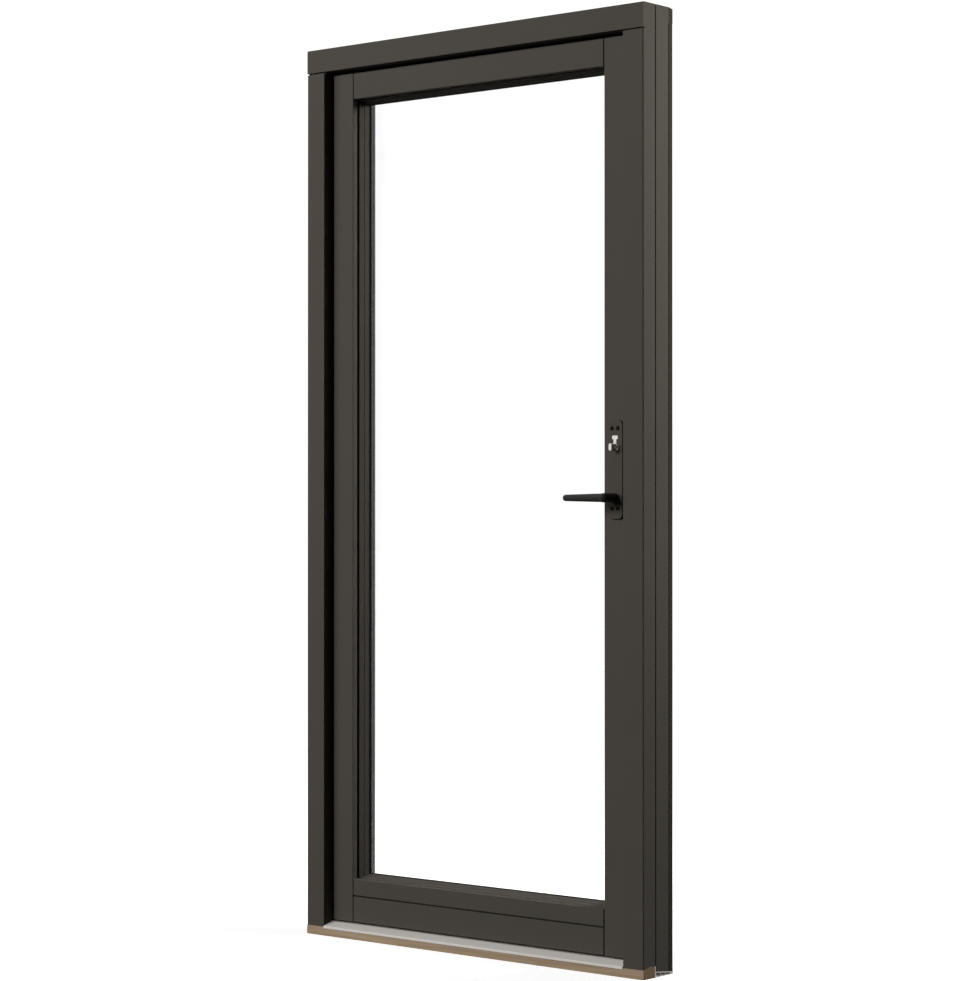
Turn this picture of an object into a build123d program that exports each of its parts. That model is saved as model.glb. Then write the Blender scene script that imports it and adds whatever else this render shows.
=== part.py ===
from build123d import *
import os

os.makedirs("parts", exist_ok=True)

# Overall frame, a common 10 by 21 module door
frame_width = 990.0
frame_height = 2090.0
timber_depth = 92.0
cladding_depth = 15.0
frame_depth = timber_depth + cladding_depth
room_face = -frame_depth / 2
frame_half = frame_width / 2

# How far a cutting shape runs past what it cuts
cut_past = 1.0

# Stepped section of the jambs and the head, widths from the outer edge, depths from the room face
stop_width = 54.5
stop_depth = 44.0
rebate_width = 35.0
edge_round = 3.0
arris = 1.0
kerf_width = 3.4
kerf_deep = 5.0
kerf_centre = 44.4
joint_width = 3.6
joint_deep = 6.0
end_joint_width = 2.2

# Wooden sill and the aluminium threshold around it
sill_depth = 42.0
sill_front_height = 20.6
sill_crest_depth = 22.0
sill_crest_height = 26.0
sill_back_height = 24.4
threshold_high = 12.7
threshold_low = 6.0
threshold_wall = 2.0
threshold_cells = 3
threshold_nose = 9.0
nose_round = 1.5
cap_overhang = 2.0
cap_lip_drop = 2.8
cap_nose_rise = 3.0
cap_crest_depth = 25.0
cap_crest_rise = 5.5
cap_nose_round = 1.6
cap_crest_round = 5.0
cap_wall = 2.2
cap_cell_front = 6.0
cap_cell_back = 2.0
cap_end_gap = 0.3

# Leaf and its running gaps
leaf_gap = 8.0
leaf_recess = 25.0
leaf_setback = 2.0
seal_space = 10.0
cap_clear = 5.0
threshold_clear = 7.3
stile_face = 61.9
top_rail_face = 60.8
bottom_rail_face = 37.4
kick_rail_face = 63.1
lip_depth = 14.0
glazing_rebate = 15.0
sight_round = 2.5

# Glazing beads and the double glazing unit
bead_slot = 7.5
bead_rise = 8.3
bead_groove_width = 1.2
bead_groove_deep = 1.6
bead_groove_inset = 14.0
bead_nose_round = 1.5
gasket_thickness = 1.5
gasket_tuck = 1.0
gasket_lip = 2.0
pane_thickness = 4.0
pane_space = 16.0
glass_edge_gap = 5.0
spacer_edge = 2.0
spacer_height = 7.5
outer_gasket_thickness = 2.0
outer_gasket_tuck = 8.0
outer_gasket_lip = 1.0

# Folded aluminium cladding
sheet = 2.0
fold_round = 1.4
cladding_shadow = 1.2
cladding_foot = 6.0
cladding_lip_thickness = 3.0
cladding_sight_gap = 1.5
head_cladding_fall = 2.7

# Rubber seal on the shoulder of the leaf
seal_inset = 3.0
seal_width = 7.0
seal_clear = 5.0
seal_round = 2.0

# Hinges on the outside
hinge_end = 250.0
hinge_offset = 10.0
knuckle_radius = 7.5
knuckle_height = 45.0
knuckle_gap = 1.0
knuckle_chamfer = 0.8
pin_radius = 4.0
pin_clearance = 0.05
pin_length = 38.0
pin_end_gap = 2.0
flag_thickness = 4.0
flag_clear = 12.0
flag_width = 24.0
flag_corner = 4.0
tongue_reach = 2.0
tongue_thickness = 5.0

# Handle plate and lever
lever_height = 1029.0
lock_backset = 27.5
lock_centres = 109.0
plate_width = 39.0
plate_below = 45.5
plate_above = 59.0
plate_thickness = 6.0
plate_corner = 11.0
plate_edge_round = 0.8
screw_recess_radius = 5.0
screw_recess_deep = 2.5
screw_spread = 15.5
screw_above = 41.0
screw_below = 23.0
lever_standoff = 48.0
lever_length = 109.0
neck_radius = 10.2
lever_root_radius = 9.6
lever_tip_radius = 7.3
lever_gap = 0.8
stub_radius = 6.0
stub_length = 12.0
stub_clear = 3.0
stub_hole_deep = 20.0

# Lock cylinder and thumb turn
cylinder_radius = 8.5
stem_width = 8.6
crown_width = 16.0
crown_height = 9.0
crown_rise = 17.0
crown_corner = 3.0
cylinder_proud = 0.6
cylinder_length = 28.0
cylinder_edge = 0.6
cylinder_clearance = 0.3
turn_length = 16.5
turn_width = 9.0
turn_height = 16.5
turn_corner = 4.0
turn_edge_round = 1.5
turn_boss_radius = 6.5
turn_boss_length = 4.0
turn_stub_radius = 4.0
turn_stub_length = 14.0
turn_bore_deep = 16.0
turn_gap = 0.8

# Lock forend in the leaf edge and strike plate in the jamb
lock_inset = 8.0
lock_width = 20.0
lock_thickness = 3.0
forend_below = 139.0
forend_above = 152.0
strike_below = 79.0
strike_above = 92.0
strike_edge = 5.0
latch_height = 36.0
bolt_height = 40.0
bolt_edge = 4.0
bolt_line = 0.8
bolt_line_deep = 1.2

# Positions that follow from the sizes above
head_stop_height = frame_height - stop_width
head_rebate_height = frame_height - rebate_width
cap_lip_height = sill_front_height - cap_lip_drop
cap_nose_height = sill_front_height + cap_nose_rise
cap_crest_height = sill_crest_height + cap_crest_rise
leaf_half = frame_half - stop_width - leaf_gap
leaf_outer_half = frame_half - rebate_width - leaf_gap
leaf_top = head_stop_height - leaf_gap
leaf_outer_top = head_rebate_height - leaf_gap
leaf_bottom = cap_crest_height + cap_clear
leaf_outer_bottom = threshold_high + threshold_clear
leaf_shoulder = stop_depth + seal_space
leaf_outer_depth = frame_depth - leaf_setback
kick_rail_top = leaf_bottom + kick_rail_face
sight_half = leaf_half - stile_face
sight_top = leaf_top - top_rail_face
sight_bottom = kick_rail_top + bottom_rail_face
rebate_half = sight_half + glazing_rebate
rebate_top = sight_top + glazing_rebate
rebate_bottom = sight_bottom - glazing_rebate
lip_back = leaf_recess + lip_depth
lip_front = leaf_outer_depth - cladding_lip_thickness
glass_back = lip_front - outer_gasket_thickness
outer_pane_front = glass_back - pane_thickness
glass_front = outer_pane_front - pane_space - pane_thickness
bead_front = lip_back + bead_slot
bead_back = glass_front - gasket_thickness
seal_height = seal_space - seal_clear
hinge_x = -(leaf_outer_half + leaf_gap / 2)
hinge_depth = frame_depth + hinge_offset
handle_x = leaf_half - lock_backset
cylinder_height = lever_height + lock_centres
plate_front = leaf_recess - plate_thickness
cylinder_front = plate_front - cylinder_proud
cylinder_back = cylinder_front + cylinder_length
lock_centre = leaf_shoulder + lock_inset + lock_width / 2


def section(plane, points, rounds):
    face = plane * Polygon(*points, align=None)
    for (across, up), radius in rounds:
        corner = plane.from_local_coords((across, up, 0))
        face = fillet(face.vertices().sort_by_distance(corner)[0], radius)
    return face


def block(left, right, front, back, bottom, top):
    size = (right - left, back - front, top - bottom)
    middle = ((left + right) / 2, room_face + (front + back) / 2, (bottom + top) / 2)
    return Pos(*middle) * Box(*size)


def upright(points, bottom, top, rounds=()):
    plane = Plane(origin=(0, room_face, bottom))
    return extrude(section(plane, points, rounds), amount=top - bottom, dir=(0, 0, 1))


def crosswise(points, left, right, rounds=()):
    plane = Plane(origin=(left, room_face, 0), x_dir=(0, 1, 0), z_dir=(1, 0, 0))
    return extrude(section(plane, points, rounds), amount=right - left, dir=(1, 0, 0))


def front_plane(x, front, height):
    return Plane(origin=(x, room_face + front, height), x_dir=(1, 0, 0), z_dir=(0, -1, 0))


def facing(sketch, x, height, front, back):
    return extrude(front_plane(x, front, height) * sketch, amount=back - front, dir=(0, 1, 0))


def rod(x, height, radius, front, back):
    return facing(Circle(radius), x, height, front, back)


def post(x, depth, radius, bottom, top):
    plane = Plane(origin=(x, room_face + depth, bottom))
    return extrude(plane * Circle(radius), amount=top - bottom, dir=(0, 0, 1))


def ring(half, bottom, top, width, front, back):
    outer = block(-half, half, front, back, bottom, top)
    hole_front = front - cut_past
    hole_back = back + cut_past
    return outer - block(-half + width, half - width, hole_front, hole_back, bottom + width, top - width)


def lock_strip(left, right, bottom, top):
    origin = (left, room_face + lock_centre, (bottom + top) / 2)
    plane = Plane(origin=origin, x_dir=(0, 1, 0), z_dir=(1, 0, 0))
    strip = plane * SlotOverall(top - bottom, lock_width, rotation=90)
    return extrude(strip, amount=right - left, dir=(1, 0, 0))


def mirrored(shape):
    return mirror(shape, about=Plane.YZ)


def room_side(shape):
    return shape.faces().sort_by(Axis.Y)[0]


def threshold_top(depth):
    run = frame_depth - stop_depth
    return threshold_high - (threshold_high - threshold_low) * (depth - stop_depth) / run


def sill_top(depth):
    if depth <= sill_crest_depth:
        rise = (sill_crest_height - sill_front_height) / sill_crest_depth
        return sill_front_height + rise * depth
    fall = (sill_crest_height - sill_back_height) / (stop_depth - sill_crest_depth)
    return sill_crest_height - fall * (depth - sill_crest_depth)


nodes = {}

# Everything under the jambs, taken off their feet
past_back = frame_depth + cut_past
underside = [
    (-cut_past, -cut_past),
    (-cut_past, sill_top(-cut_past)),
    (sill_crest_depth, sill_crest_height),
    (stop_depth, sill_back_height),
    (stop_depth, threshold_high),
    (past_back, threshold_top(past_back)),
    (past_back, -cut_past),
]
feet = crosswise(underside, -frame_half - cut_past, frame_half + cut_past)

# Jambs, with a stop, a rebate and a kerf in the outer edge
kerf_front = kerf_centre - kerf_width / 2
kerf_back = kerf_centre + kerf_width / 2
timber_section = [
    (0, 0),
    (stop_width, 0),
    (stop_width, stop_depth),
    (rebate_width, stop_depth),
    (rebate_width, timber_depth),
    (arris, timber_depth),
    (0, timber_depth - arris),
    (0, kerf_back),
    (kerf_deep, kerf_back),
    (kerf_deep, kerf_front),
    (0, kerf_front),
]
jamb_points = [(-frame_half + width, depth) for width, depth in timber_section]
jamb_rounds = [((-frame_half, 0), edge_round), ((-frame_half + stop_width, 0), arris)]
jamb = upright(jamb_points, 0, head_rebate_height, jamb_rounds)
past_edge = -frame_half - cut_past
joint_bottom = head_stop_height - joint_width
jamb -= block(past_edge, 0, -cut_past, stop_depth, head_stop_height, frame_height)
jamb -= block(past_edge, 0, -cut_past, joint_deep, joint_bottom, frame_height)
jamb -= feet
nodes["left_jamb"] = jamb
rebate_x = frame_half - rebate_width
strike_bottom = lever_height - strike_below
strike_top = cylinder_height + strike_above
strike_pocket = lock_strip(rebate_x, rebate_x + lock_thickness, strike_bottom, strike_top)
nodes["right_jamb"] = mirrored(jamb) - strike_pocket

# Head, running over both jambs
head_points = [(depth, frame_height - width) for width, depth in timber_section]
head_rounds = [((0, frame_height), edge_round), ((0, head_stop_height), arris)]
head = crosswise(head_points, -frame_half, frame_half, head_rounds)
past_top = frame_height + cut_past
for side in (-1, 1):
    inner = side * (frame_half - kerf_deep)
    outer = side * (frame_half + cut_past)
    round_x = side * (frame_half - edge_round)
    head -= block(min(inner, outer), max(inner, outer), kerf_front, kerf_back, 0, past_top)
    corner = block(min(round_x, outer), max(round_x, outer), -cut_past, edge_round, 0, past_top)
    head -= corner - post(round_x, edge_round, edge_round, 0, past_top)
nodes["head"] = head

# Wooden sill
sill_points = [
    (0, 0),
    (sill_depth, 0),
    (sill_depth, sill_top(sill_depth)),
    (sill_crest_depth, sill_crest_height),
    (0, sill_front_height),
]
nodes["wood_sill"] = crosswise(sill_points, -frame_half, frame_half)

# Aluminium threshold with its hollow outer part and the cap over the sill
threshold_points = [
    (sill_depth, 0),
    (frame_depth, 0),
    (frame_depth, threshold_low),
    (stop_depth, threshold_high),
    (stop_depth, sill_back_height),
    (sill_depth, sill_top(sill_depth)),
]
threshold_rounds = [((frame_depth, threshold_low), nose_round)]
threshold = crosswise(threshold_points, -frame_half, frame_half, threshold_rounds)
cell_start = stop_depth + threshold_wall
cell_pitch = (frame_depth - threshold_nose - cell_start) / threshold_cells
for cell in range(threshold_cells):
    near = cell_start + cell * cell_pitch
    far = near + cell_pitch - threshold_wall
    cell_points = [
        (near, threshold_wall),
        (far, threshold_wall),
        (far, threshold_top(far) - threshold_wall),
        (near, threshold_top(near) - threshold_wall),
    ]
    threshold -= crosswise(cell_points, -frame_half - cut_past, frame_half + cut_past)
cap_half = frame_half - stop_width - cap_end_gap
cap_slope = (cap_crest_height - cap_nose_height) / cap_crest_depth
cap_nose = (-cap_overhang, cap_nose_height - cap_slope * cap_overhang)
cap_crest = (cap_crest_depth, cap_crest_height)
cap_points = [
    (-cap_overhang, cap_lip_height),
    (0, cap_lip_height),
    (0, sill_front_height),
    (sill_crest_depth, sill_crest_height),
    (sill_depth, sill_top(sill_depth)),
    (stop_depth, sill_back_height),
    (stop_depth, cap_crest_height),
    cap_crest,
    cap_nose,
]
cap_rounds = [(cap_nose, cap_nose_round), (cap_crest, cap_crest_round)]
cell_back = sill_depth - cap_cell_back
cap_cell = [
    (cap_cell_front, sill_top(cap_cell_front)),
    (sill_crest_depth, sill_crest_height),
    (cell_back, sill_top(cell_back)),
    (cell_back, cap_crest_height - cap_wall),
    (cap_crest_depth, cap_crest_height - cap_wall),
    (cap_cell_front, cap_nose_height + cap_slope * cap_cell_front - cap_wall),
]
cap = crosswise(cap_points, -cap_half, cap_half, cap_rounds)
cap -= crosswise(cap_cell, -cap_half - cut_past, cap_half + cut_past)
nodes["threshold"] = threshold + cap

# Cladding over the outside of the frame
jamb_cladding_section = [
    (0, timber_depth + cladding_shadow),
    (0, frame_depth),
    (rebate_width, frame_depth),
    (rebate_width, timber_depth),
    (rebate_width - sheet, timber_depth),
    (rebate_width - sheet, frame_depth - sheet),
    (sheet, frame_depth - sheet),
    (sheet, timber_depth + sheet),
    (sheet + cladding_foot, timber_depth + sheet),
    (sheet + cladding_foot, timber_depth),
    (sheet, timber_depth),
    (sheet, timber_depth + cladding_shadow),
]
jamb_cladding_points = [(-frame_half + width, depth) for width, depth in jamb_cladding_section]
jamb_cladding_folds = [
    ((-frame_half, frame_depth), fold_round),
    ((-frame_half + rebate_width, frame_depth), fold_round),
]
jamb_cladding = upright(jamb_cladding_points, 0, head_rebate_height, jamb_cladding_folds) - feet
nodes["left_jamb_cladding"] = jamb_cladding
nodes["right_jamb_cladding"] = mirrored(jamb_cladding)
fall_inside = head_cladding_fall * sheet / cladding_depth
head_cladding_outline = [
    (timber_depth + cladding_shadow, frame_height),
    (frame_depth, frame_height - head_cladding_fall),
    (frame_depth, head_rebate_height),
    (timber_depth, head_rebate_height),
    (timber_depth, frame_height - sheet),
    (timber_depth + cladding_shadow, frame_height - sheet),
]
head_cladding_folds = [
    ((frame_depth, frame_height - head_cladding_fall), fold_round),
    ((frame_depth, head_rebate_height), fold_round),
]
head_cladding_hollow = [
    (frame_depth - sheet, frame_height - head_cladding_fall - sheet + fall_inside),
    (frame_depth - sheet, head_rebate_height + sheet),
    (timber_depth - cut_past, head_rebate_height + sheet),
    (timber_depth - cut_past, frame_height - sheet - cladding_foot),
    (timber_depth + sheet, frame_height - sheet - cladding_foot),
    (timber_depth + sheet, frame_height - sheet - fall_inside),
]
head_cladding = crosswise(head_cladding_outline, -frame_half, frame_half, head_cladding_folds)
head_cladding -= crosswise(head_cladding_hollow, -frame_half + sheet, frame_half - sheet)
nodes["head_cladding"] = head_cladding

# Stiles of the leaf, full height, with a rounded edge towards the glass
stile_points = [
    (-leaf_half + arris, leaf_recess),
    (-sight_half, leaf_recess),
    (-sight_half, lip_back),
    (-rebate_half, lip_back),
    (-rebate_half, timber_depth),
    (-leaf_outer_half, timber_depth),
    (-leaf_outer_half, leaf_shoulder),
    (-leaf_half, leaf_shoulder),
    (-leaf_half, leaf_recess + arris),
]
stile_rounds = [((-sight_half, leaf_recess), sight_round)]
stile = upright(stile_points, leaf_outer_bottom, leaf_outer_top, stile_rounds)
stile -= block(-leaf_half - cut_past, 0, 0, leaf_shoulder, leaf_top, leaf_outer_top + cut_past)
stile -= block(-leaf_half - cut_past, 0, 0, leaf_shoulder, 0, leaf_bottom)
nodes["hinge_stile"] = stile

# Rails of the leaf, fitted between the stiles
stile_lips = block(-rebate_half - cut_past, -sight_half, 0, lip_back, 0, frame_height)
stile_lips += mirrored(stile_lips)
line_back = leaf_recess + joint_deep
end_lines = block(-sight_half - cut_past, -sight_half + end_joint_width, 0, line_back, 0, frame_height)
end_lines += mirrored(end_lines)
top_rail_points = [
    (leaf_recess, sight_top),
    (lip_back, sight_top),
    (lip_back, rebate_top),
    (timber_depth, rebate_top),
    (timber_depth, leaf_outer_top),
    (leaf_shoulder, leaf_outer_top),
    (leaf_shoulder, leaf_top),
    (leaf_recess + arris, leaf_top),
    (leaf_recess, leaf_top - arris),
]
bottom_rail_points = [
    (leaf_recess, kick_rail_top),
    (timber_depth, kick_rail_top),
    (timber_depth, rebate_bottom),
    (lip_back, rebate_bottom),
    (lip_back, sight_bottom),
    (leaf_recess, sight_bottom),
]
kick_rail_points = [
    (leaf_recess, leaf_bottom + arris),
    (leaf_recess + arris, leaf_bottom),
    (leaf_shoulder, leaf_bottom),
    (leaf_shoulder, leaf_outer_bottom),
    (timber_depth, leaf_outer_bottom),
    (timber_depth, kick_rail_top),
    (leaf_recess + joint_deep, kick_rail_top),
    (leaf_recess + joint_deep, kick_rail_top - joint_width),
    (leaf_recess, kick_rail_top - joint_width),
]
top_rail_rounds = [((leaf_recess, sight_top), sight_round)]
bottom_rail_rounds = [((leaf_recess, sight_bottom), sight_round)]
rail_ends = stile_lips + end_lines


def rail(points, rounds=()):
    return crosswise(points, -rebate_half, rebate_half, rounds) - rail_ends


nodes["top_rail"] = rail(top_rail_points, top_rail_rounds)
nodes["bottom_rail"] = rail(bottom_rail_points, bottom_rail_rounds)
nodes["kick_rail"] = rail(kick_rail_points)

# Glazing beads, sloping up to the glass with a groove along the slope, mitred at the corners
bead_slope = bead_rise / (bead_back - bead_front)
groove_far = bead_back - bead_groove_inset
groove_near = groove_far - bead_groove_width
groove_near_height = glazing_rebate + bead_slope * (groove_near - bead_front)
groove_far_height = glazing_rebate + bead_slope * (groove_far - bead_front)
bead_section = [
    (0, bead_front),
    (glazing_rebate, bead_front),
    (groove_near_height, groove_near),
    (groove_near_height - bead_groove_deep, groove_near),
    (groove_near_height - bead_groove_deep, groove_far),
    (groove_far_height, groove_far),
    (glazing_rebate + bead_rise, bead_back),
    (0, bead_back),
]
mitre = 2 * (glazing_rebate + bead_rise)
left_mitre = [
    (-rebate_half, rebate_bottom),
    (-rebate_half + mitre, rebate_bottom + mitre),
    (-rebate_half + mitre, rebate_top - mitre),
    (-rebate_half, rebate_top),
]
top_mitre = [
    (-rebate_half, rebate_top),
    (-rebate_half + mitre, rebate_top - mitre),
    (rebate_half - mitre, rebate_top - mitre),
    (rebate_half, rebate_top),
]
bottom_mitre = [
    (-rebate_half, rebate_bottom),
    (rebate_half, rebate_bottom),
    (rebate_half - mitre, rebate_bottom + mitre),
    (-rebate_half + mitre, rebate_bottom + mitre),
]


def mitred(bead, points):
    outline = Polygon(*points, align=None)
    return bead & facing(outline, 0, 0, bead_front - cut_past, bead_back + cut_past)


left_points = [(-rebate_half + inset, depth) for inset, depth in bead_section]
left_rounds = [((-sight_half, bead_front), bead_nose_round)]
top_points = [(depth, rebate_top - inset) for inset, depth in bead_section]
top_rounds = [((bead_front, sight_top), bead_nose_round)]
low_points = [(depth, rebate_bottom + inset) for inset, depth in bead_section]
low_rounds = [((bead_front, sight_bottom), bead_nose_round)]
left_bead = mitred(upright(left_points, rebate_bottom, rebate_top, left_rounds), left_mitre)
nodes["left_bead"] = left_bead
nodes["right_bead"] = mirrored(left_bead)
nodes["top_bead"] = mitred(crosswise(top_points, -rebate_half, rebate_half, top_rounds), top_mitre)
nodes["bottom_bead"] = mitred(crosswise(low_points, -rebate_half, rebate_half, low_rounds), bottom_mitre)

# Double glazing unit with its gaskets
pane_half = rebate_half - glass_edge_gap
pane_bottom = rebate_bottom + glass_edge_gap
pane_top = rebate_top - glass_edge_gap
inner_pane_back = glass_front + pane_thickness
nodes["inner_pane"] = block(-pane_half, pane_half, glass_front, inner_pane_back, pane_bottom, pane_top)
nodes["outer_pane"] = block(-pane_half, pane_half, outer_pane_front, glass_back, pane_bottom, pane_top)
nodes["glass_spacer"] = ring(
    pane_half - spacer_edge,
    pane_bottom + spacer_edge,
    pane_top - spacer_edge,
    spacer_height,
    inner_pane_back,
    outer_pane_front,
)
nodes["inner_gasket"] = ring(
    sight_half + gasket_tuck,
    sight_bottom - gasket_tuck,
    sight_top + gasket_tuck,
    gasket_tuck + bead_rise + gasket_lip,
    bead_back,
    glass_front,
)
nodes["outer_gasket"] = ring(
    sight_half + outer_gasket_tuck,
    sight_bottom - outer_gasket_tuck,
    sight_top + outer_gasket_tuck,
    outer_gasket_tuck - cladding_sight_gap + outer_gasket_lip,
    glass_back,
    lip_front,
)

# Cladding over the outside of the leaf, stile strips full height and rail strips between them
leaf_shadow = timber_depth + cladding_shadow


def leaf_cladding_section(rebate_inset, lip_inset):
    return [
        (0, leaf_outer_depth),
        (lip_inset, leaf_outer_depth),
        (lip_inset, lip_front),
        (rebate_inset, lip_front),
        (rebate_inset, timber_depth),
        (rebate_inset - sheet, timber_depth),
        (rebate_inset - sheet, leaf_outer_depth - sheet),
        (sheet, leaf_outer_depth - sheet),
        (sheet, timber_depth + sheet),
        (sheet + cladding_foot, timber_depth + sheet),
        (sheet + cladding_foot, timber_depth),
        (sheet, timber_depth),
        (sheet, leaf_shadow),
        (0, leaf_shadow),
    ]


stile_rebate_inset = leaf_outer_half - rebate_half
stile_lip_inset = leaf_outer_half - sight_half - cladding_sight_gap
stile_section = leaf_cladding_section(stile_rebate_inset, stile_lip_inset)
stile_cladding_points = [(-leaf_outer_half + inset, depth) for inset, depth in stile_section]
stile_cladding_folds = [
    ((-leaf_outer_half, leaf_outer_depth), fold_round),
    ((-leaf_outer_half + stile_lip_inset, leaf_outer_depth), fold_round),
]
stile_cladding = upright(stile_cladding_points, leaf_outer_bottom, leaf_outer_top, stile_cladding_folds)
nodes["hinge_stile_cladding"] = stile_cladding
nodes["lock_stile_cladding"] = mirrored(stile_cladding)
rail_half = sight_half + cladding_sight_gap
top_rebate_inset = leaf_outer_top - rebate_top
top_lip_inset = leaf_outer_top - sight_top - cladding_sight_gap
top_section = leaf_cladding_section(top_rebate_inset, top_lip_inset)
top_folds = [
    ((leaf_outer_depth, leaf_outer_top), fold_round),
    ((leaf_outer_depth, leaf_outer_top - top_lip_inset), fold_round),
]
top_cladding_points = [(depth, leaf_outer_top - inset) for inset, depth in top_section]
nodes["top_rail_cladding"] = crosswise(top_cladding_points, -rail_half, rail_half, top_folds)
bottom_rebate_inset = rebate_bottom - leaf_outer_bottom
bottom_lip_inset = sight_bottom - leaf_outer_bottom - cladding_sight_gap
bottom_section = leaf_cladding_section(bottom_rebate_inset, bottom_lip_inset)
bottom_folds = [
    ((leaf_outer_depth, leaf_outer_bottom), fold_round),
    ((leaf_outer_depth, leaf_outer_bottom + bottom_lip_inset), fold_round),
]
bottom_cladding_points = [(depth, leaf_outer_bottom + inset) for inset, depth in bottom_section]
nodes["bottom_rail_cladding"] = crosswise(bottom_cladding_points, -rail_half, rail_half, bottom_folds)

# Rubber seal round the shoulder of the leaf, with a rounded bulb
seal = ring(
    leaf_outer_half - seal_inset,
    leaf_outer_bottom + seal_inset,
    leaf_outer_top - seal_inset,
    seal_width,
    leaf_shoulder - seal_height,
    leaf_shoulder,
)
nodes["leaf_seal"] = fillet(room_side(seal).edges(), seal_round)

# Lock forend in the edge of the lock stile, with its latch and bolt drawn back flush
forend_bottom = lever_height - forend_below
forend_top = cylinder_height + forend_above
forend = lock_strip(leaf_outer_half - lock_thickness, leaf_outer_half, forend_bottom, forend_top)
forend_pocket = forend
lock_cuts = [(lever_height, latch_height), (cylinder_height, bolt_height)]
lock_front = lock_centre - lock_width / 2
lock_back = lock_centre + lock_width / 2
line_left = leaf_outer_half - bolt_line_deep
line_right = leaf_outer_half + cut_past
for height, tall in lock_cuts:
    near = lock_front + bolt_edge
    far = lock_back - bolt_edge
    low = height - tall / 2
    high = height + tall / 2
    opening = block(line_left, line_right, near, far, low, high)
    near += bolt_line
    far -= bolt_line
    low += bolt_line
    high -= bolt_line
    forend -= opening - block(line_left - cut_past, line_right, near, far, low, high)
nodes["lock_forend"] = forend

# Strike plate let into the jamb, with a hole for the latch and one for the bolt
strike = strike_pocket
for height, tall in lock_cuts:
    near = lock_front + strike_edge
    far = lock_back - strike_edge
    strike -= block(leaf_outer_half, frame_half, near, far, height - tall / 2, height + tall / 2)
nodes["strike_plate"] = strike

# Handle plate with round corners, screw recesses in pairs and a bearing hole for the lever
plate_bottom = lever_height - plate_below
plate_top = cylinder_height + plate_above
plate_outline = RectangleRounded(plate_width, plate_top - plate_bottom, plate_corner)
plate = facing(plate_outline, handle_x, (plate_bottom + plate_top) / 2, plate_front, leaf_recess)
plate = fillet(room_side(plate).edges(), plate_edge_round)
lever_bore = stub_radius + pin_clearance
plate -= rod(handle_x, lever_height, lever_bore, plate_front - cut_past, leaf_recess + cut_past)
for height in (lever_height - screw_below, cylinder_height + screw_above):
    for side in (-1, 1):
        screw_x = handle_x + side * screw_spread / 2
        recess_back = plate_front + screw_recess_deep
        plate -= rod(screw_x, height, screw_recess_radius, plate_front - cut_past, recess_back)


# Lock cylinder, a round barrel with a stem and a crown over it, through the plate into the stile
def cylinder_shape(extra, front, back):
    outline = Circle(cylinder_radius + extra)
    stem_length = crown_rise + crown_height / 2
    outline += Pos(0, stem_length / 2) * Rectangle(stem_width + 2 * extra, stem_length)
    crown = RectangleRounded(crown_width + 2 * extra, crown_height + 2 * extra, crown_corner + extra)
    outline += Pos(0, stem_length) * crown
    return facing(outline, handle_x, cylinder_height, front, back)


cylinder_hole = cylinder_shape(cylinder_clearance, plate_front - cut_past, cylinder_back)
nodes["handle_plate"] = plate - cylinder_hole
lock_cylinder = cylinder_shape(0, cylinder_front, cylinder_back)
lock_cylinder = chamfer(room_side(lock_cylinder).edges(), cylinder_edge)
turn_bore = turn_stub_radius + pin_clearance
bore_back = cylinder_front + turn_bore_deep
lock_cylinder -= rod(handle_x, cylinder_height, turn_bore, cylinder_front - cut_past, bore_back)
nodes["lock_cylinder"] = lock_cylinder

# Lock stile with room for the forend, the cylinder and the lever stub
lock_stile = mirrored(stile) - forend_pocket - cylinder_hole
stub_hole = stub_radius + stub_clear
lock_stile -= rod(handle_x, lever_height, stub_hole, leaf_recess - cut_past, leaf_recess + stub_hole_deep)
nodes["lock_stile"] = lock_stile

# Lever, a tapered round bar on a neck with a ball at the elbow, and its bearing stub
lever_depth = leaf_recess - lever_standoff
lever_tip_x = handle_x - lever_length + lever_tip_radius
lever_y = room_face + lever_depth
root_plane = Plane(origin=(handle_x, lever_y, lever_height), x_dir=(0, 1, 0), z_dir=(-1, 0, 0))
tip_plane = Plane(origin=(lever_tip_x, lever_y, lever_height), x_dir=(0, 1, 0), z_dir=(-1, 0, 0))
neck_back = plate_front - lever_gap
lever = loft([root_plane * Circle(lever_root_radius), tip_plane * Circle(lever_tip_radius)])
lever += Pos(lever_tip_x, lever_y, lever_height) * Sphere(lever_tip_radius)
lever += Pos(handle_x, lever_y, lever_height) * Sphere(neck_radius)
lever += rod(handle_x, lever_height, neck_radius, lever_depth, neck_back)
lever += rod(handle_x, lever_height, stub_radius, neck_back - cut_past, plate_front + stub_length)
nodes["lever_handle"] = lever

# Thumb turn, an oval grip on a round boss over the lock cylinder
turn_back = cylinder_front - turn_gap
turn_front = turn_back - turn_length
turn_outline = RectangleRounded(turn_width, turn_height, turn_corner)
turn = facing(turn_outline, handle_x, cylinder_height, turn_front, turn_back)
turn = fillet(room_side(turn).edges(), turn_edge_round)
turn += rod(handle_x, cylinder_height, turn_boss_radius, turn_back - turn_boss_length, turn_back)
stub_end = cylinder_front + turn_stub_length
turn += rod(handle_x, cylinder_height, turn_stub_radius, turn_back - cut_past, stub_end)
nodes["thumb_turn"] = turn


# Hinges, a flag and a lower knuckle with the pin on the frame, a flag and an upper knuckle on the leaf
def flag(left, right, front, low, high):
    outline = RectangleRounded(right - left, high - low, flag_corner)
    return facing(outline, (left + right) / 2, (low + high) / 2, front, front + flag_thickness)


def knuckle(low, high):
    barrel = post(hinge_x, hinge_depth, knuckle_radius, low, high)
    return chamfer(barrel.edges().filter_by(GeomType.CIRCLE), knuckle_chamfer)


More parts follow.
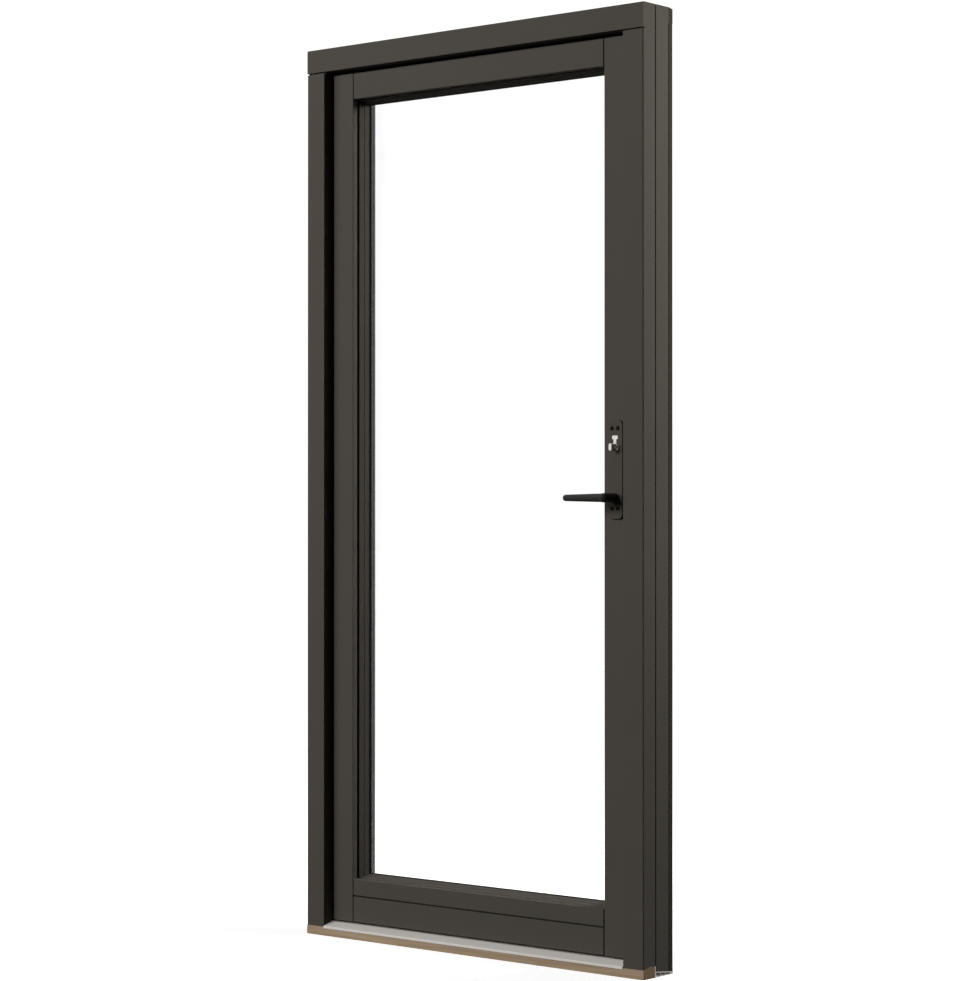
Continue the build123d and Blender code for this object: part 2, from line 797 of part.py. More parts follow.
frame_flag_right = hinge_x - flag_clear
leaf_flag_left = hinge_x + flag_clear
tongue_back = hinge_depth - tongue_thickness
hinge_heights = {
    "lower": hinge_end,
    "middle": frame_height / 2,
    "upper": frame_height - hinge_end,
}
for name, middle in hinge_heights.items():
    low = middle - knuckle_height
    high = middle + knuckle_height
    frame_end = middle - knuckle_gap / 2
    leaf_end = middle + knuckle_gap / 2
    pin_end = frame_end + pin_length
    frame_hinge = flag(frame_flag_right - flag_width, frame_flag_right, frame_depth, low, high)
    left = frame_flag_right - flag_corner
    right = hinge_x - tongue_reach
    frame_hinge += block(left, right, frame_depth, tongue_back, low + flag_corner, frame_end)
    frame_hinge += knuckle(low, frame_end)
    frame_hinge += post(hinge_x, hinge_depth, pin_radius, frame_end - cut_past, pin_end)
    nodes[name + "_frame_hinge"] = frame_hinge
    leaf_hinge = flag(leaf_flag_left, leaf_flag_left + flag_width, leaf_outer_depth, low, high)
    left = hinge_x + tongue_reach
    right = leaf_flag_left + flag_corner
    leaf_hinge += block(left, right, leaf_outer_depth, tongue_back, leaf_end, high - flag_corner)
    leaf_hinge += knuckle(leaf_end, high)
    pin_bore = pin_radius + pin_clearance
    leaf_hinge -= post(hinge_x, hinge_depth, pin_bore, leaf_end - cut_past, pin_end + pin_end_gap)
    nodes[name + "_leaf_hinge"] = leaf_hinge

for name, shape in nodes.items():
    export_step(shape, "parts/" + name + ".step")
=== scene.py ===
import math
import bpy
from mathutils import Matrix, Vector


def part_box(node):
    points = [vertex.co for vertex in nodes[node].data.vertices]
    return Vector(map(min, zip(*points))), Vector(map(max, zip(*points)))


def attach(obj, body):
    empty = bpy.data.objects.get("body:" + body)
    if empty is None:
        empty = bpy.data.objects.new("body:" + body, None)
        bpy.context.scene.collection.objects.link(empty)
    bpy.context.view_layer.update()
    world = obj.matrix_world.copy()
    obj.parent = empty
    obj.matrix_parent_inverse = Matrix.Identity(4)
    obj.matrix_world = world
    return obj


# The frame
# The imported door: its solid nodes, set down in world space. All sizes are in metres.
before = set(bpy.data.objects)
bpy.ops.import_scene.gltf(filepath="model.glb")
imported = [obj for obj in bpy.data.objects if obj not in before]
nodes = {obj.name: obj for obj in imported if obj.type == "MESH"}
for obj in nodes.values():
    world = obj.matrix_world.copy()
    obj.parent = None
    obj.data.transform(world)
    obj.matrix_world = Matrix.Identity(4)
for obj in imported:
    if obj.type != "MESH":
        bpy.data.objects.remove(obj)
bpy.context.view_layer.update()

# Painted timber of the frame and the leaf
# Planed softwood, finger jointed and sprayed with a satin opaque paint, dark grey-brown.
# The jambs, stiles and side beads have their grain upright, the head, rails and flat beads across.
UPRIGHT_TIMBER = ("left_jamb", "right_jamb", "hinge_stile", "lock_stile", "left_bead", "right_bead")
CROSS_TIMBER = ("head", "top_rail", "bottom_rail", "kick_rail", "top_bead", "bottom_bead")
ACROSS_AXIS = 0
UPRIGHT_AXIS = 2
PAINT_COLOUR = "#484540"
PAINT_PALER_COLOUR = "#4c4944"
PAINT_CLOUD = 0.35
PAINT_ROUGHNESS = (0.66, 0.76)
PAINT_SHINE = 0.03
GRAIN_WIDTH = 0.004
GRAIN_LENGTH = 0.30
GRAIN_RELIEF = 0.00006
GRAIN_STRENGTH = 0.35
# Painted shade: paint in creases, joints and recesses close to another surface is darkened towards this
# colour.
PAINTED_SHADE_COLOUR = "#0f0e0c"
PAINTED_SHADE_REACH = 0.006
# Shares of the light that gets in: at the first the painted shade is at its darkest, at the second the
# paint has its own colour.
PAINTED_SHADE_DARKEST = 0.2
PAINTED_SHADE_CLEAR = 0.5
PAINTED_SHADE_SAMPLES = 8


def colour(code):
    """Linear colour of an sRGB hex code."""
    channels = [int(code[i:i + 2], 16) / 255 for i in (1, 3, 5)]
    linear = [((c + 0.055) / 1.055) ** 2.4 if c > 0.04045 else c / 12.92 for c in channels]
    return (*linear, 1.0)


def add(tree, kind, inputs=None, **settings):
    """Adds a node with its settings, and sets or links its inputs by name or number."""
    node = tree.nodes.new(kind)
    for name, value in settings.items():
        setattr(node, name, value)
    for name, value in (inputs or {}).items():
        if isinstance(value, bpy.types.NodeSocket):
            tree.links.new(value, node.inputs[name])
        else:
            node.inputs[name].default_value = value
    return node


def new_material(name):
    """An empty material and its node tree."""
    material = bpy.data.materials.new(name)
    material.use_nodes = True
    material.node_tree.nodes.clear()
    return material, material.node_tree


def finish_material(tree, surface):
    """Ends a material's tree in one shader that takes these inputs."""
    shader = add(tree, "ShaderNodeBsdfPrincipled", surface)
    add(tree, "ShaderNodeOutputMaterial", {"Surface": shader.outputs["BSDF"]})


def dress(names, material):
    """Gives solids their material."""
    for name in names:
        mesh = nodes[name].data
        mesh.materials.clear()
        mesh.materials.append(material)


def satin_paint(name, grain_axis):
    """Satin paint on planed softwood: a soft sheen, the grain just showing, painted shade in creases and
    joints.
    """
    material, tree = new_material(name)
    place = add(tree, "ShaderNodeTexCoord").outputs["Object"]
    stretch = [1 / GRAIN_WIDTH] * 3
    stretch[grain_axis] = 1 / GRAIN_LENGTH
    along = add(tree, "ShaderNodeMapping", {"Vector": place, "Scale": stretch})
    grain = add(
        tree,
        "ShaderNodeTexNoise",
        {"Vector": along.outputs["Vector"], "Scale": 1.0, "Detail": 3.0},
    )
    clouds = add(tree, "ShaderNodeTexNoise", {"Vector": place, "Scale": 1 / PAINT_CLOUD, "Detail": 2.0})
    tint = add(tree, "ShaderNodeValToRGB", {"Fac": clouds.outputs["Fac"]})
    tint.color_ramp.elements[0].color = colour(PAINT_COLOUR)
    tint.color_ramp.elements[1].color = colour(PAINT_PALER_COLOUR)
    # Painted shade: paint that faces another surface within this reach is darkened, as shade falls in a
    # joint, a kerf or a corner.
    inside = add(tree, "ShaderNodeAmbientOcclusion", {"Distance": PAINTED_SHADE_REACH}, samples=PAINTED_SHADE_SAMPLES)
    unshaded_share = add(
        tree,
        "ShaderNodeMapRange",
        {"Value": inside.outputs["AO"], "From Min": PAINTED_SHADE_DARKEST, "From Max": PAINTED_SHADE_CLEAR},
    )
    painted = add(
        tree,
        "ShaderNodeMix",
        {"Factor": unshaded_share.outputs["Result"], "A": colour(PAINTED_SHADE_COLOUR), "B": tint.outputs["Color"]},
        data_type="RGBA",
    )
    sheen = add(
        tree,
        "ShaderNodeMapRange",
        {"Value": grain.outputs["Fac"], "To Min": PAINT_ROUGHNESS[0], "To Max": PAINT_ROUGHNESS[1]},
    )
    relief = add(
        tree,
        "ShaderNodeBump",
        {"Height": grain.outputs["Fac"], "Strength": GRAIN_STRENGTH, "Distance": GRAIN_RELIEF},
    )
    finish_material(
        tree,
        {
            "Base Color": painted.outputs["Result"],
            "Roughness": sheen.outputs["Result"],
            "Normal": relief.outputs["Normal"],
            "Specular IOR Level": PAINT_SHINE,
        },
    )
    return material


dress(UPRIGHT_TIMBER, satin_paint("satin_paint_upright", UPRIGHT_AXIS))
dress(CROSS_TIMBER, satin_paint("satin_paint_across", ACROSS_AXIS))

# Sill
# A planed strip of heat treated pine under the front of the frame, left bare and oiled.
# The long grain runs across the door with darker latewood lines, and the sawn ends show the rings.
SILL_EARLY_COLOUR = "#ab967d"
SILL_LATE_COLOUR = "#96816b"
SILL_END_COLOUR = "#715d4b"
SILL_RING_COLOUR = "#846f5b"
SILL_LATE_UP_TO = 0.35
SILL_EARLY_FROM = 0.65
SILL_GRAIN_WIDTH = 0.006
SILL_GRAIN_LENGTH = 0.22
SILL_RING = 0.0045
SILL_HEART = (0.0, -0.012, -0.035)
SILL_RELIEF = 0.0002
SILL_RELIEF_STRENGTH = 0.4
SILL_ROUGHNESS = 0.68
SILL_SHINE = 0.2
# A wave texture of scale 1 has its rings this far apart.
WAVE_PERIOD = 0.314

bare_pine, tree = new_material("bare_pine")
place = add(tree, "ShaderNodeTexCoord").outputs["Object"]
along = add(
    tree,
    "ShaderNodeMapping",
    {"Vector": place, "Scale": (1 / SILL_GRAIN_LENGTH, 1 / SILL_GRAIN_WIDTH, 1 / SILL_GRAIN_WIDTH)},
)
latewood = add(
    tree,
    "ShaderNodeTexNoise",
    {"Vector": along.outputs["Vector"], "Scale": 1.0, "Detail": 4.0, "Distortion": 0.6},
)
wood_tint = add(tree, "ShaderNodeValToRGB", {"Fac": latewood.outputs["Fac"]})
late, early = wood_tint.color_ramp.elements
late.position = SILL_LATE_UP_TO
late.color = colour(SILL_LATE_COLOUR)
early.position = SILL_EARLY_FROM
early.color = colour(SILL_EARLY_COLOUR)
from_heart = add(tree, "ShaderNodeVectorMath", {0: place, 1: SILL_HEART}, operation="SUBTRACT")
rings = add(
    tree,
    "ShaderNodeTexWave",
    {
        "Vector": from_heart.outputs["Vector"],
        "Scale": WAVE_PERIOD / SILL_RING,
        "Distortion": 1.5,
        "Detail": 2.0,
    },
    wave_type="RINGS",
    rings_direction="X",
)
end_tint = add(
    tree,
    "ShaderNodeMix",
    {"Factor": rings.outputs["Fac"], "A": colour(SILL_END_COLOUR), "B": colour(SILL_RING_COLOUR)},
    data_type="RGBA",
)
facing = add(tree, "ShaderNodeNewGeometry")
sideways = add(tree, "ShaderNodeSeparateXYZ", {"Vector": facing.outputs["Normal"]})
is_end = add(tree, "ShaderNodeMath", {0: sideways.outputs["X"]}, operation="ABSOLUTE")
wood = add(
    tree,
    "ShaderNodeMix",
    {"Factor": is_end.outputs["Value"], "A": wood_tint.outputs["Color"], "B": end_tint.outputs["Result"]},
    data_type="RGBA",
)
wood_relief = add(
    tree,
    "ShaderNodeBump",
    {"Height": latewood.outputs["Fac"], "Strength": SILL_RELIEF_STRENGTH, "Distance": SILL_RELIEF},
)
finish_material(
    tree,
    {
        "Base Color": wood.outputs["Result"],
        "Roughness": SILL_ROUGHNESS,
        "Specular IOR Level": SILL_SHINE,
        "Normal": wood_relief.outputs["Normal"],
    },
)
dress(("wood_sill",), bare_pine)

# Threshold
# Extruded aluminium, pressed over the sill and left in its natural anodised finish.
# The oxide is pale and satin, only faintly metallic, with fine die lines along the extrusion.
ALUMINIUM_COLOUR = "#dcd8d3"
ALUMINIUM_ROUGHNESS = (0.45, 0.6)
ALUMINIUM_METALLIC = 0.12
# Real die lines are finer; these are as coarse as they need to be to show.
DIE_LINE_WIDTH = 0.0008
DIE_LINE_LENGTH = 0.5


def lined_metal(name, code, line_size, roughness, metallic):
    """Bare metal with fine lines drawn along it, where the gloss comes and goes."""
    material, tree = new_material(name)
    place = add(tree, "ShaderNodeTexCoord").outputs["Object"]
    along = add(tree, "ShaderNodeMapping", {"Vector": place, "Scale": [1 / size for size in line_size]})
    lines = add(
        tree,
        "ShaderNodeTexNoise",
        {"Vector": along.outputs["Vector"], "Scale": 1.0, "Detail": 2.0},
    )
    rubbed = add(
        tree,
        "ShaderNodeMapRange",
        {"Value": lines.outputs["Fac"], "To Min": roughness[0], "To Max": roughness[1]},
    )
    finish_material(
        tree,
        {"Base Color": colour(code), "Metallic": metallic, "Roughness": rubbed.outputs["Result"]},
    )
    return material


die_line = (DIE_LINE_LENGTH, DIE_LINE_WIDTH, DIE_LINE_WIDTH)
anodised = lined_metal(
    "anodised_aluminium", ALUMINIUM_COLOUR, die_line, ALUMINIUM_ROUGHNESS, ALUMINIUM_METALLIC
)
dress(("threshold",), anodised)

# Cladding
# Folded aluminium strips over the outside of the frame and the leaf, powder coated.
# The coat is a fine orange peel, a shade darker than the paint on the timber.
CLAD_TIMBER = ("left_jamb", "right_jamb", "head", "hinge_stile", "lock_stile", "top_rail", "bottom_rail")
COAT_COLOUR = "#35322c"
COAT_ROUGHNESS = 0.62
COAT_SHINE = 0.03
PEEL_SIZE = 0.0025
PEEL_RELIEF = 0.0001
PEEL_STRENGTH = 0.25

powder_coat, tree = new_material("powder_coat")
place = add(tree, "ShaderNodeTexCoord").outputs["Object"]
peel = add(tree, "ShaderNodeTexNoise", {"Vector": place, "Scale": 1 / PEEL_SIZE, "Detail": 1.0})
peel_relief = add(
    tree,
    "ShaderNodeBump",
    {"Height": peel.outputs["Fac"], "Strength": PEEL_STRENGTH, "Distance": PEEL_RELIEF},
)
finish_material(
    tree,
    {
        "Base Color": colour(COAT_COLOUR),
        "Roughness": COAT_ROUGHNESS,
        "Specular IOR Level": COAT_SHINE,
        "Normal": peel_relief.outputs["Normal"],
    },
)
dress([f"{timber}_cladding" for timber in CLAD_TIMBER], powder_coat)

# Glazing
# Two panes of clear float glass with a dark grey spacer bar, bedded between black rubber gaskets.
# The same rubber makes the seal round the shoulder of the leaf.
GLASS_TINT = "#f7faf8"
GLASS_IOR = 1.45
GLASS_ALPHA = 0.06
RUBBER_COLOUR = "#141414"
RUBBER_ROUGHNESS = (0.6, 0.8)
# Real grit is finer; this is as coarse as it needs to be to show.
RUBBER_GRIT = 0.0012
SPACER_COLOUR = "#2b2b2b"
SPACER_ROUGHNESS = (0.45, 0.6)
SPACER_PITCH = 0.004
DULL_SHINE = 0.06

# Float glass is clear and smooth: nearly all the light goes straight through, with a thin gloss left.
float_glass, tree = new_material("float_glass")
finish_material(
    tree,
    {
        "Base Color": colour(GLASS_TINT),
        "Roughness": 0.0,
        "IOR": GLASS_IOR,
        "Transmission Weight": 1.0,
        "Alpha": GLASS_ALPHA,
    },
)
dress(("inner_pane", "outer_pane"), float_glass)

# Extruded rubber is nearly black and dull, with a fine grit in its sheen.
rubber, tree = new_material("black_rubber")
place = add(tree, "ShaderNodeTexCoord").outputs["Object"]
grit = add(tree, "ShaderNodeTexNoise", {"Vector": place, "Scale": 1 / RUBBER_GRIT, "Detail": 2.0})
bloom = add(
    tree,
    "ShaderNodeMapRange",
    {"Value": grit.outputs["Fac"], "To Min": RUBBER_ROUGHNESS[0], "To Max": RUBBER_ROUGHNESS[1]},
)
finish_material(
    tree,
    {
        "Base Color": colour(RUBBER_COLOUR),
        "Roughness": bloom.outputs["Result"],
        "Specular IOR Level": DULL_SHINE,
    },
)
dress(("inner_gasket", "outer_gasket", "leaf_seal"), rubber)

# The spacer is a matt bar, pricked with fine holes for the drying agent inside it.
spacer, tree = new_material("spacer_bar")
place = add(tree, "ShaderNodeTexCoord").outputs["Object"]
pricks = add(tree, "ShaderNodeTexVoronoi", {"Vector": place, "Scale": 1 / SPACER_PITCH})
matt = add(
    tree,
    "ShaderNodeMapRange",
    {"Value": pricks.outputs["Distance"], "To Min": SPACER_ROUGHNESS[0], "To Max": SPACER_ROUGHNESS[1]},
)
finish_material(
    tree,
    {
        "Base Color": colour(SPACER_COLOUR),
        "Roughness": matt.outputs["Result"],
        "Specular IOR Level": DULL_SHINE,
    },
)
dress(("glass_spacer",), spacer)

# Lever and handle plate
# The lever is a die cast bar with a satin black coat; its plate is coated to match the door.
# Both have a fine smooth grain from the spray.
LEVER_COLOUR = "#282827"
LEVER_ROUGHNESS = 0.45
LEVER_SHINE = 0.2
PLATE_COLOUR = PAINT_COLOUR
PLATE_ROUGHNESS = 0.68
PLATE_SHINE = PAINT_SHINE
# The real grain of the spray is finer; this is as coarse as it needs to be to show.
SPRAY_GRAIN = 0.0016
SPRAY_RELIEF = 0.00008
SPRAY_STRENGTH = 0.2
SPRAY_SPREAD = 0.05


def sprayed_metal(name, code, rough, shine):
    """Sprayed metal: a close, even grain that breaks up the highlight."""
    material, tree = new_material(name)
    place = add(tree, "ShaderNodeTexCoord").outputs["Object"]
    grain = add(tree, "ShaderNodeTexNoise", {"Vector": place, "Scale": 1 / SPRAY_GRAIN, "Detail": 2.0})
    sheen = add(
        tree,
        "ShaderNodeMapRange",
        {"Value": grain.outputs["Fac"], "To Min": rough - SPRAY_SPREAD, "To Max": rough + SPRAY_SPREAD},
    )
    relief = add(
        tree,
        "ShaderNodeBump",
        {"Height": grain.outputs["Fac"], "Strength": SPRAY_STRENGTH, "Distance": SPRAY_RELIEF},
    )
    finish_material(
        tree,
        {
            "Base Color": colour(code),
            "Roughness": sheen.outputs["Result"],
            "Specular IOR Level": shine,
            "Normal": relief.outputs["Normal"],
        },
    )
    return material


black_coat = sprayed_metal("satin_black_coat", LEVER_COLOUR, LEVER_ROUGHNESS, LEVER_SHINE)
plate_coat = sprayed_metal("plate_coat", PLATE_COLOUR, PLATE_ROUGHNESS, PLATE_SHINE)
dress(("lever_handle",), black_coat)
dress(("handle_plate",), plate_coat)

# Lock
# Cylinder and thumb turn are plated and polished; forend and strike plate are brushed steel.
# The brushing runs up the strips, and handling leaves the plating a little uneven.
STEEL_COLOUR = "#bdbab5"
STEEL_ROUGHNESS = (0.25, 0.42)
# Real brushing is finer; this is as coarse as it needs to be to show.
BRUSH_LINE_WIDTH = 0.0006
BRUSH_LINE_LENGTH = 0.25
PLATED_COLOUR = "#e6e2dc"
PLATED_ROUGHNESS = (0.12, 0.22)
HANDLING_MARK = 0.006
FULLY_METALLIC = 1.0

brush_line = (BRUSH_LINE_WIDTH, BRUSH_LINE_WIDTH, BRUSH_LINE_LENGTH)
brushed_steel = lined_metal("brushed_steel", STEEL_COLOUR, brush_line, STEEL_ROUGHNESS, FULLY_METALLIC)
dress(("lock_forend", "strike_plate"), brushed_steel)

plated, tree = new_material("polished_plating")
place = add(tree, "ShaderNodeTexCoord").outputs["Object"]
handling = add(tree, "ShaderNodeTexNoise", {"Vector": place, "Scale": 1 / HANDLING_MARK, "Detail": 2.0})
polish = add(
    tree,
    "ShaderNodeMapRange",
    {"Value": handling.outputs["Fac"], "To Min": PLATED_ROUGHNESS[0], "To Max": PLATED_ROUGHNESS[1]},
)
finish_material(
    tree,
    {
        "Base Color": colour(PLATED_COLOUR),
        "Metallic": FULLY_METALLIC,
        "Roughness": polish.outputs["Result"],
    },
)
dress(("lock_cylinder", "thumb_turn"), plated)

# Hinges
# Three steel hinges with a flag on each side and a barrel over a pin, coated like the cladding.
# They are screwed through the flags.
HINGE_LEVELS = ("lower", "middle", "upper")
HINGE_BODIES = ("frame", "leaf")
HINGE_COLOUR = "#33302b"
HINGE_ROUGHNESS = 0.45
HINGE_SHINE = 0.2
hinge_coat = sprayed_metal("hinge_coat", HINGE_COLOUR, HINGE_ROUGHNESS, HINGE_SHINE)
dress([f"{level}_{body}_hinge" for level in HINGE_LEVELS for body in HINGE_BODIES], hinge_coat)

# Screws
# Cross recessed heads: black ones sunk in the handle plate, coated ones on the hinge flags,
# and steel ones nearly flush in the forend and the strike plate, each turned as it stopped.
HEAD_INPUTS = {
    "Places": "NodeSocketGeometry",
    "Facing": "NodeSocketVector",
    "Head Radius": "NodeSocketFloat",
    "Head Height": "NodeSocketFloat",
    "Turn Seed": "NodeSocketInt",
    "Finish": "NodeSocketMaterial",
}
HEAD_SIDES = 28
TURN_SEED = 4
# Shares of the head's radius, and for the depth of the cross, of its height.
TOP_SHARE = 0.78
CROSS_SHARE = 1.15
CROSS_WIDTH_SHARE = 0.24
CROSS_DEEP_SHARE = 0.6
# Each kind of head is a radius and a height.
PLATE_HEAD = (0.0046, 0.0015)
FLAG_HEAD = (0.0040, 0.0014)
STRIP_HEAD = (0.0038, 0.0012)
BLACKENED_COLOUR = "#1d1c19"
BLACKENED_ROUGHNESS = 0.6
BLACKENED_SHINE = 0.05
PLATE_RECESS = 0.0025
PLATE_SPREAD = 0.0155
PLATE_FROM_FOOT = 0.0225
PLATE_FROM_TOP = 0.018
STRIP_FROM_END = 0.014
STRIP_HEAD_SUNK = 0.0007
FLAG_THICK = 0.004
FLAG_WIDE = 0.024
FLAG_PITCH = 0.030

heads = bpy.data.node_groups.new("screw_heads", "GeometryNodeTree")
for label, socket_type in HEAD_INPUTS.items():
    heads.interface.new_socket(label, in_out="INPUT", socket_type=socket_type)
heads.interface.new_socket("Heads", in_out="OUTPUT", socket_type="NodeSocketGeometry")
sockets = {item.name: item.identifier for item in heads.interface.items_tree}
given = add(heads, "NodeGroupInput")
radius = given.outputs["Head Radius"]
height = given.outputs["Head Height"]
top_radius = add(heads, "ShaderNodeMath", {0: radius, 1: TOP_SHARE}, operation="MULTIPLY")
head = add(
    heads,
    "GeometryNodeMeshCone",
    {
        "Vertices": HEAD_SIDES,
        "Radius Top": top_radius.outputs["Value"],
        "Radius Bottom": radius,
        "Depth": height,
    },
)
cross_long = add(heads, "ShaderNodeMath", {0: radius, 1: CROSS_SHARE}, operation="MULTIPLY")
cross_wide = add(heads, "ShaderNodeMath", {0: radius, 1: CROSS_WIDTH_SHARE}, operation="MULTIPLY")
cross_deep = add(heads, "ShaderNodeMath", {0: height, 1: 2 * CROSS_DEEP_SHARE}, operation="MULTIPLY")
top = add(heads, "ShaderNodeCombineXYZ", {"Z": height})
cut = add(
    heads,
    "GeometryNodeMeshBoolean",
    {"Mesh 1": head.outputs["Mesh"]},
    operation="DIFFERENCE",
    solver="EXACT",
)
for bar_x, bar_y in ((cross_long, cross_wide), (cross_wide, cross_long)):
    size = add(
        heads,
        "ShaderNodeCombineXYZ",
        {"X": bar_x.outputs["Value"], "Y": bar_y.outputs["Value"], "Z": cross_deep.outputs["Value"]},
    )
    bar = add(heads, "GeometryNodeMeshCube", {"Size": size.outputs["Vector"]})
    raised = add(
        heads,
        "GeometryNodeTransform",
        {"Geometry": bar.outputs["Mesh"], "Translation": top.outputs["Vector"]},
    )
    heads.links.new(raised.outputs["Geometry"], cut.inputs["Mesh 2"])
outwards = add(heads, "FunctionNodeAlignRotationToVector", {"Vector": given.outputs["Facing"]}, axis="Z")
stopped = add(
    heads,
    "FunctionNodeRandomValue",
    {"Min": 0.0, "Max": math.tau, "Seed": given.outputs["Turn Seed"]},
)
turn = add(
    heads,
    "FunctionNodeAxisAngleToRotation",
    {"Axis": (0, 0, 1), "Angle": stopped.outputs["Value"]},
)
turned = add(
    heads,
    "FunctionNodeRotateRotation",
    {"Rotation": outwards.outputs["Rotation"], "Rotate By": turn.outputs["Rotation"]},
    rotation_space="LOCAL",
)
placed = add(
    heads,
    "GeometryNodeInstanceOnPoints",
    {
        "Points": given.outputs["Places"],
        "Instance": cut.outputs["Mesh"],
        "Rotation": turned.outputs["Rotation"],
    },
)
real = add(heads, "GeometryNodeRealizeInstances", {"Geometry": placed.outputs["Instances"]})
finished = add(
    heads,
    "GeometryNodeSetMaterial",
    {"Geometry": real.outputs["Geometry"], "Material": given.outputs["Finish"]},
)
add(heads, "NodeGroupOutput", {"Heads": finished.outputs["Geometry"]})


def put(name, data):
    """A new object in the scene."""
    thing = bpy.data.objects.new(name, data)
    bpy.context.scene.collection.objects.link(thing)
    return thing


def screws(name, places, facing, head_size, finish, body):
    """Screw heads on their places, made real and fixed to a body."""
    mesh = bpy.data.meshes.new(name)
    mesh.from_pydata(places, [], [])
    piece = put(name, mesh)
    modifier = piece.modifiers.new("heads", "NODES")
    modifier.node_group = heads
    modifier[sockets["Facing"]] = facing
    modifier[sockets["Head Radius"]] = head_size[0]
    modifier[sockets["Head Height"]] = head_size[1]
    modifier[sockets["Turn Seed"]] = TURN_SEED
    modifier[sockets["Finish"]] = finish
    evaluated = piece.evaluated_get(bpy.context.evaluated_depsgraph_get())
    made = bpy.data.meshes.new_from_object(evaluated)
    piece.modifiers.remove(modifier)
    piece.data = made
    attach(piece, body)


def strip_places(face_x, low, high):
    """The two screws of a steel strip, one near each end."""
    middle_y = (low[1] + high[1]) / 2
    return [(face_x, middle_y, z) for z in (low[2] + STRIP_FROM_END, high[2] - STRIP_FROM_END)]


blackened = sprayed_metal("blackened_steel", BLACKENED_COLOUR, BLACKENED_ROUGHNESS, BLACKENED_SHINE)
low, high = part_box("handle_plate")
plate_middle = (low[0] + high[0]) / 2
plate_places = [
    (plate_middle + side * PLATE_SPREAD / 2, low[1] + PLATE_RECESS, z)
    for side in (-1, 1)
    for z in (low[2] + PLATE_FROM_FOOT, high[2] - PLATE_FROM_TOP)
]
screws("plate_screws", plate_places, (0, -1, 0), PLATE_HEAD, blackened, "leaf")
low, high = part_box("lock_forend")
forend_places = strip_places(high[0] - STRIP_HEAD_SUNK, low, high)
screws("forend_screws", forend_places, (1, 0, 0), STRIP_HEAD, brushed_steel, "leaf")
low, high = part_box("strike_plate")
strike_places = strip_places(low[0] + STRIP_HEAD_SUNK, low, high)
screws("strike_screws", strike_places, (-1, 0, 0), STRIP_HEAD, brushed_steel, "frame")
for body in HINGE_BODIES:
    flag_places = []
    for level in HINGE_LEVELS:
        low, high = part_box(f"{level}_{body}_hinge")
        flag_x = low[0] + FLAG_WIDE / 2 if body == "frame" else high[0] - FLAG_WIDE / 2
        flag_z = (low[2] + high[2]) / 2
        for step in (-1, 0, 1):
            flag_places.append((flag_x, low[1] + FLAG_THICK, flag_z + step * FLAG_PITCH))
    screws(f"{body}_hinge_screws", flag_places, (0, 1, 0), FLAG_HEAD, hinge_coat, body)

# Floor
# A plain pale floor that shows white to the eye, with a faint soft shade along the door's foot.
# To other light it is a quiet dark grey, so that it throws little light back up.
FLOOR_HALF = 40.0
FLOOR_CORNERS = ((-1, -1), (1, -1), (1, 1), (-1, 1))
SHADE_REACH = 0.7
GLOW_NEAR = 0.61
GLOW_FAR = 1.08
GLOSS_SHARE = 0.15
PALE_GREY = (0.8, 0.8, 0.8, 1)
QUIET_GREY = (0.04, 0.04, 0.04, 1)
WHITE = (1, 1, 1, 1)

floor_mesh = bpy.data.meshes.new("floor")
floor_corners = [(x * FLOOR_HALF, y * FLOOR_HALF, 0) for x, y in FLOOR_CORNERS]
floor_mesh.from_pydata(floor_corners, [], [(0, 1, 2, 3)])
floor = put("floor", floor_mesh)
floor_white, tree = new_material("floor_white")
path = add(tree, "ShaderNodeLightPath")
gloss = add(
    tree,
    "ShaderNodeMath",
    {0: path.outputs["Is Glossy Ray"], 1: GLOSS_SHARE},
    operation="MULTIPLY",
)
eye_or_gloss = add(
    tree,
    "ShaderNodeMath",
    {0: path.outputs["Is Camera Ray"], 1: gloss.outputs["Value"]},
    operation="MAXIMUM",
)
seen = add(
    tree,
    "ShaderNodeMath",
    {0: eye_or_gloss.outputs["Value"], 1: path.outputs["Is Transmission Ray"]},
    operation="MAXIMUM",
)
place = add(tree, "ShaderNodeTexCoord").outputs["Object"]
away = add(tree, "ShaderNodeVectorMath", {0: place}, operation="LENGTH")
glow = add(
    tree,
    "ShaderNodeMapRange",
    {
        "Value": away.outputs["Value"],
        "From Min": SHADE_REACH,
        "From Max": 2 * SHADE_REACH,
        "To Min": GLOW_NEAR,
        "To Max": GLOW_FAR,
    },
)
white = add(tree, "ShaderNodeEmission", {"Color": WHITE, "Strength": glow.outputs["Result"]})
shade = add(tree, "ShaderNodeBsdfDiffuse", {"Color": PALE_GREY})
both = add(tree, "ShaderNodeAddShader", {0: white.outputs["Emission"], 1: shade.outputs["BSDF"]})
quiet = add(tree, "ShaderNodeBsdfDiffuse", {"Color": QUIET_GREY})
mixed = add(
    tree,
    "ShaderNodeMixShader",
    {0: seen.outputs["Value"], 1: quiet.outputs["BSDF"], 2: both.outputs["Shader"]},
)
add(tree, "ShaderNodeOutputMaterial", {"Surface": mixed.outputs["Shader"]})
floor_mesh.materials.append(floor_white)

# Studio
# A white surround for the eye and the glass, which gloss sees darker towards the front right.
# A long soft lamp stands at the front left, a nearer one high in front, a small one behind at the right.
SURROUND_GLOW = 1.08
AMBIENT = 0.035
DARK_SIDE = (0.77, -0.64, 0.0)
DARK_FROM = 0.15
DARK_FULL = 0.8
DARK_LEVEL = 0.12
DOOR_MIDDLE = Vector((0.0, 0.0, 1.0))
# Each lamp has its spot, its width and height, and its power in watts.
LAMPS = {
    "key_lamp": ((-8.4, -10.6, 3.6), (10.0, 3.0), 1110.0),
    "top_lamp": ((-1.5, -4.5, 3.5), (2.2, 1.6), 148.0),
    "back_lamp": ((1.9, 1.7, 2.4), (0.8, 0.8), 122.0),
}

